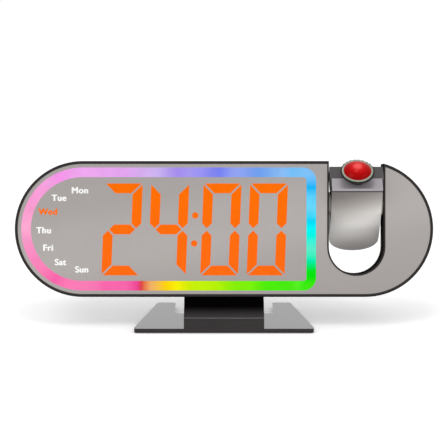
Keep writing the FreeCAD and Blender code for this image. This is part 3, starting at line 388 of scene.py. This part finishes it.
def red_lens():
    """Deep red glass, glowing where the lamp sits behind it, with a painted highlight
    brightest round its centre.
    """
    finish = Finish("red_lens", ARM_PIVOT, ARM_SWING)
    across = finish.calc("POWER", finish.x, 2.0)
    forward = finish.calc("POWER", finish.calc("SUBTRACT", finish.y, 0.6 * MM), 2.0)
    from_axis = finish.calc("SQRT", finish.calc("ADD", across, forward))
    # Painted highlight: the glow is brightest near the lens axis and fades to deep red
    # towards the rim.
    colour = ramp_of(
        finish, from_axis, 0, 8,
        [
            (0, (255, 104, 104)),
            (1.2, (250, 84, 84)),
            (3.0, (206, 18, 20)),
            (5, (172, 0, 2)),
            (6.8, (150, 0, 2)),
        ],
        "EASE",
    )
    streak = finish.vary(0.97, 1.03, 4 * MM)
    colour = finish.multiply(colour, streak)
    return finish.feed(
        base_color=srgb(30, 0, 0), roughness=0.08, specular_ior_level=0.05,
        emission_color=colour, emission_strength=0.95,
    ).material


def focus_metal():
    """A dark collar whose lip round the lens is slightly metallic and painted light
    grey-green, a painted highlight along the lip.
    """
    finish = Finish("focus_metal", ARM_PIVOT, ARM_SWING)
    # Painted highlight: the lip's light grey-green stands against the dark collar.
    lip = finish.mottle(5 * MM, srgb(140, 148, 134), srgb(154, 162, 148))
    body = finish.mottle(5 * MM, srgb(17, 17, 17), srgb(23, 23, 23))
    lip_highlight = finish.spread(finish.z, LIP_FOOT - 0.05 * MM, LIP_FOOT + 0.05 * MM)
    finish.feed(
        base_color=finish.blend(lip_highlight, body, lip), metallic=finish.calc("MULTIPLY", lip_highlight, 0.4),
        roughness=finish.spread(lip_highlight, 0.0, 1.0, 0.45, 0.32), specular_ior_level=0.25,
    )
    return finish.material


# Finishes of the stand and of the inside


COPPER_LINES = 4200.0
COPPER_ROWS = 1700.0


def stand_paint():
    """Smooth dark lacquer, mirror-like at a low angle, with painted shade high up the neck:
    near black and without gloss under the head.
    """
    finish = Finish("stand_paint")
    tone = finish.mottle(20 * MM, srgb(37, 33, 34), srgb(41, 37, 38))
    # Painted shade: up the neck, under the head, the colour goes near black and the gloss
    # fades.
    low = finish.spread(finish.z, 11.5 * MM, 7.0 * MM, smooth=True)
    gloss = finish.vary(0.09, 0.12, 8 * MM)
    tilt = finish.nodes.new("ShaderNodeLayerWeight")
    mirror = finish.spread(tilt.outputs["Facing"], 0.5, 0.76, smooth=True)
    finish.feed(
        base_color=finish.blend(low, srgb(3, 3, 4), tone), roughness=gloss, ior=1.5,
        specular_ior_level=finish.calc("MULTIPLY", low, 0.22),
        coat_weight=finish.calc("MULTIPLY", mirror, low), coat_ior=1.6, coat_roughness=0.04,
    )
    return finish.material


def gloss_dark():
    """Dark satin moulding that stays dark where it turns away."""
    finish = Finish("gloss_dark")
    tone = finish.mottle(14 * MM, srgb(30, 26, 26), srgb(34, 30, 30))
    tilt = finish.nodes.new("ShaderNodeLayerWeight")
    dull = finish.spread(tilt.outputs["Facing"], 0.35, 0.85, 0.2, 0.0)
    gloss = finish.vary(0.3, 0.36, 6 * MM, 5.0)
    return finish.feed(base_color=tone, roughness=gloss, specular_ior_level=dull).material


def circuit_board():
    """Green lacquer over faint copper lines."""
    finish = Finish("circuit_board")
    lines = finish.calc("SINE", finish.calc("MULTIPLY", finish.x, COPPER_LINES))
    rows = finish.calc("SINE", finish.calc("MULTIPLY", finish.z, COPPER_ROWS))
    mask = finish.spread(finish.calc("MULTIPLY", lines, rows), 0.2, 0.5)
    tone = finish.blend(mask, srgb(14, 74, 44), srgb(30, 104, 62))
    return finish.feed(base_color=tone, roughness=0.3, coat_weight=0.3).material


def clear_glass():
    finish = Finish("clear_lens")
    tone = finish.mottle(4 * MM, srgb(238, 242, 246), srgb(250, 252, 255))
    finish.feed(base_color=tone, roughness=0.03, transmission_weight=1.0, ior=1.5)
    return finish.material


finishes = {
    "half_mirror": half_mirror(),
    "ring_light": ring_light(),
    "figure_light": lit("figure_light", (255, 107, 18), (255, 111, 4), FIGURE_SPAN),
    "lamp_white": lit("lamp_white", (255, 255, 255), (250, 250, 250), FIGURE_SPAN),
    "lamp_orange": lit("lamp_orange", (255, 120, 30), (255, 128, 36), FIGURE_SPAN, 0.6),
    "arm_metal": arm_metal(),
    "red_lens": red_lens(),
    "focus_metal": focus_metal(),
    "stand_paint": stand_paint(),
    "circuit_board": circuit_board(),
    "clear_lens": clear_glass(),
    "gloss_dark": gloss_dark(),
    "matte_dark": surface(
        "matte_dark", (34, 32, 32), 0.48, grain=0.25, size=0.7 * MM, specular_ior_level=0.35
    ),
    "white_plastic": surface("white_plastic", (226, 226, 222), 0.45),
    "black_resin": surface("black_resin", (24, 24, 25), 0.4, grain=0.1),
    "nickel": surface("nickel", (196, 192, 184), 0.24, metallic=1.0),
    "button_plastic": surface("button_plastic", (52, 50, 50), 0.36, grain=0.08),
    "snooze_plastic": surface("snooze_plastic", (34, 31, 31), 0.36, specular_ior_level=0.3),
    "black_steel": surface("black_steel", (46, 46, 48), 0.32, metallic=0.8),
    "screw_steel": surface("screw_steel", (176, 176, 178), 0.28, metallic=1.0),
    "arm_cap": arm_cap(),
    "arm_dark": surface("arm_dark", (74, 71, 71), 0.4, metallic=0.1, specular_ior_level=0.3),
    "lamp_red": surface("lamp_red", (226, 36, 30), 0.3),
    "film": surface("film", (34, 34, 38), 0.2),
    "washer": surface("washer", (210, 206, 196), 0.5),
    "foot_rubber": surface("foot_rubber", (34, 34, 35), 0.75, grain=0.4, size=0.5 * MM),
}
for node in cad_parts.values():
    for place, material in enumerate(node.data.materials):
        node.data.materials[place] = finishes[material.name.split(".")[0]]


# Soft edges that catch the light


EDGES = {
    "front_housing": 0.22,
    "rear_cover": 0.3,
    "mirror_panel": 0.28,
    "stand": 0.22,
    "snooze_bar": 0.25,
    "arm_front_cover": 0.3,
    "arm_end_cap": 0.25,
    "arm_rear_shell": 0.3,
    "focus_ring": 0.22,
    "battery_door": 0.3,
    "set_button": 0.3,
    "up_button": 0.3,
    "down_button": 0.3,
    "alarm_button": 0.3,
    "projection_button": 0.3,
}
for name, width in EDGES.items():
    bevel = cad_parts[name].modifiers.new("soft_edge", "BEVEL")
    bevel.width = width * MM
    bevel.segments = 3
    bevel.limit_method = "ANGLE"
    bevel.angle_limit = math.radians(40)
    bevel.harden_normals = True


# Weekday marks printed on the face

WEEKDAYS = {
    "Mon": (-68.8, 18.5),
    "Tue": (-78.8, 14.9),
    "Wed": (-84.2, 8.3),
    "Thu": (-86.2, -0.6),
    "Fri": (-84.0, -8.9),
    "Sat": (-78.1, -15.8),
    "Sun": (-68.0, -19.3),
}
LIT_DAY = "Wed"
CAPITAL = 2.9
STROKE = 0.05
SHIFTS = ((-STROKE, 0.0), (0.0, STROKE / 2), (STROKE, 0.0), (0.0, -STROKE / 2))
PRINT_DEPTH = 0.16


def lettering(word, across, up):
    """Flat bold letters as a mesh, centred at a place on the face."""
    curve = bpy.data.curves.new(word, "FONT")
    curve.body = word
    curve.space_character = 1.08
    shape = bpy.data.objects.new(word, curve)
    bpy.context.scene.collection.objects.link(shape)
    bpy.context.view_layer.update()
    mesh = bpy.data.meshes.new_from_object(
        shape.evaluated_get(bpy.context.evaluated_depsgraph_get())
    )
    bpy.data.objects.remove(shape)
    low = [min(v.co[i] for v in mesh.vertices) for i in range(2)]
    high = [max(v.co[i] for v in mesh.vertices) for i in range(2)]
    size = CAPITAL * MM / (high[1] - low[1])
    middle = Vector(((low[0] + high[0]) / 2, (low[1] + high[1]) / 2, 0))
    bold = bmesh.new()
    for shift_across, shift_up in SHIFTS:
        start = len(bold.verts)
        bold.from_mesh(mesh)
        bold.verts.ensure_lookup_table()
        for vertex in bold.verts[start:]:
            vertex.co.x += shift_across
            vertex.co.y += shift_up
    bold.to_mesh(mesh)
    bold.free()
    upright = Matrix.Rotation(math.pi / 2, 4, "X")
    there = Matrix.Translation((across * MM, PRINT_DEPTH * MM, up * MM))
    centred = Matrix.Scale(size, 4) @ Matrix.Translation(-middle)
    mesh.transform(head @ there @ upright @ centred)
    piece = bpy.data.objects.new("day_" + word.lower(), mesh)
    bpy.context.scene.collection.objects.link(piece)
    finish = "figure_light" if word == LIT_DAY else "lamp_white"
    mesh.materials.clear()
    mesh.materials.append(finishes[finish])
    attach(piece, "clock")


for word, (across, up) in WEEKDAYS.items():
    lettering(word, across, up)


# Floor, world, lamps and camera


def floor_paint():
    """Matt white that stays white out to the horizon and still takes a shadow."""
    finish = Finish("floor_paint")
    tone = finish.mottle(120 * MM, srgb(248, 248, 248), srgb(252, 252, 252))
    return finish.feed(
        base_color=tone, roughness=0.9, specular_ior_level=0.0,
        emission_color=tone, emission_strength=0.22,
    ).material


def lamp(name, at, aim, size, power):
    data = bpy.data.lights.new(name, "AREA")
    data.shape = "SQUARE"
    data.size = size
    data.energy = power
    item = bpy.data.objects.new(name, data)
    item.location = at
    item.rotation_euler = (Vector(aim) - Vector(at)).to_track_quat("-Z", "Y").to_euler()
    bpy.context.scene.collection.objects.link(item)


mesh = bpy.data.meshes.new("floor")
mesh.from_pydata(
    [(-6, -6, 0), (6, -6, 0), (6, 6, 0), (-6, 6, 0)], [], [(0, 1, 2, 3)]
)
floor = bpy.data.objects.new("floor", mesh)
mesh.materials.append(floor_paint())
bpy.context.scene.collection.objects.link(floor)

world = bpy.data.worlds.new("studio")
bpy.context.scene.world = world
world.use_nodes = True
sky = world.node_tree.nodes["Background"]
path = world.node_tree.nodes.new("ShaderNodeLightPath")
seen = world.node_tree.nodes.new("ShaderNodeMath")
seen.operation = "MAXIMUM"
world.node_tree.links.new(path.outputs["Is Camera Ray"], seen.inputs[0])
world.node_tree.links.new(path.outputs["Is Glossy Ray"], seen.inputs[1])
level = world.node_tree.nodes.new("ShaderNodeMapRange")
level.inputs["To Min"].default_value = 0.82
level.inputs["To Max"].default_value = 1.0
world.node_tree.links.new(seen.outputs[0], level.inputs["Value"])
world.node_tree.links.new(level.outputs[0], sky.inputs["Strength"])
sky.inputs["Color"].default_value = (1, 1, 1, 1)

lamp("key", (-0.55, -0.55, 0.75), (0, 0, 0.04), 0.5, 1.6)
lamp("fill", (0.7, -0.5, 0.5), (0, 0, 0.04), 0.6, 0.8)
lamp("low_front", (0.1, -0.9, 0.10), (0.03, 0, 0.05), 0.5, 1.6)
lamp("above", (0, -0.25, 0.95), (0, 0, 0.02), 0.2, 0.9)
bpy.data.objects["low_front"].visible_glossy = False

CAMERA_RISE = math.radians(13.0)
CAMERA_AWAY = 0.85
aim = FACE_CENTRE + 2.4 * MM * Vector((0, math.sin(LEAN), math.cos(LEAN)))
data = bpy.data.cameras.new("camera")
data.sensor_width = 36
data.lens = 143
camera = bpy.data.objects.new("camera", data)
toward_camera = Vector((0, -math.cos(CAMERA_RISE), math.sin(CAMERA_RISE)))
camera.location = aim + CAMERA_AWAY * toward_camera
camera.rotation_euler = (aim - camera.location).to_track_quat("-Z", "Y").to_euler()
bpy.context.scene.collection.objects.link(camera)
bpy.context.scene.camera = camera
bpy.context.scene.view_settings.view_transform = "Standard"

bpy.context.view_layer.update()
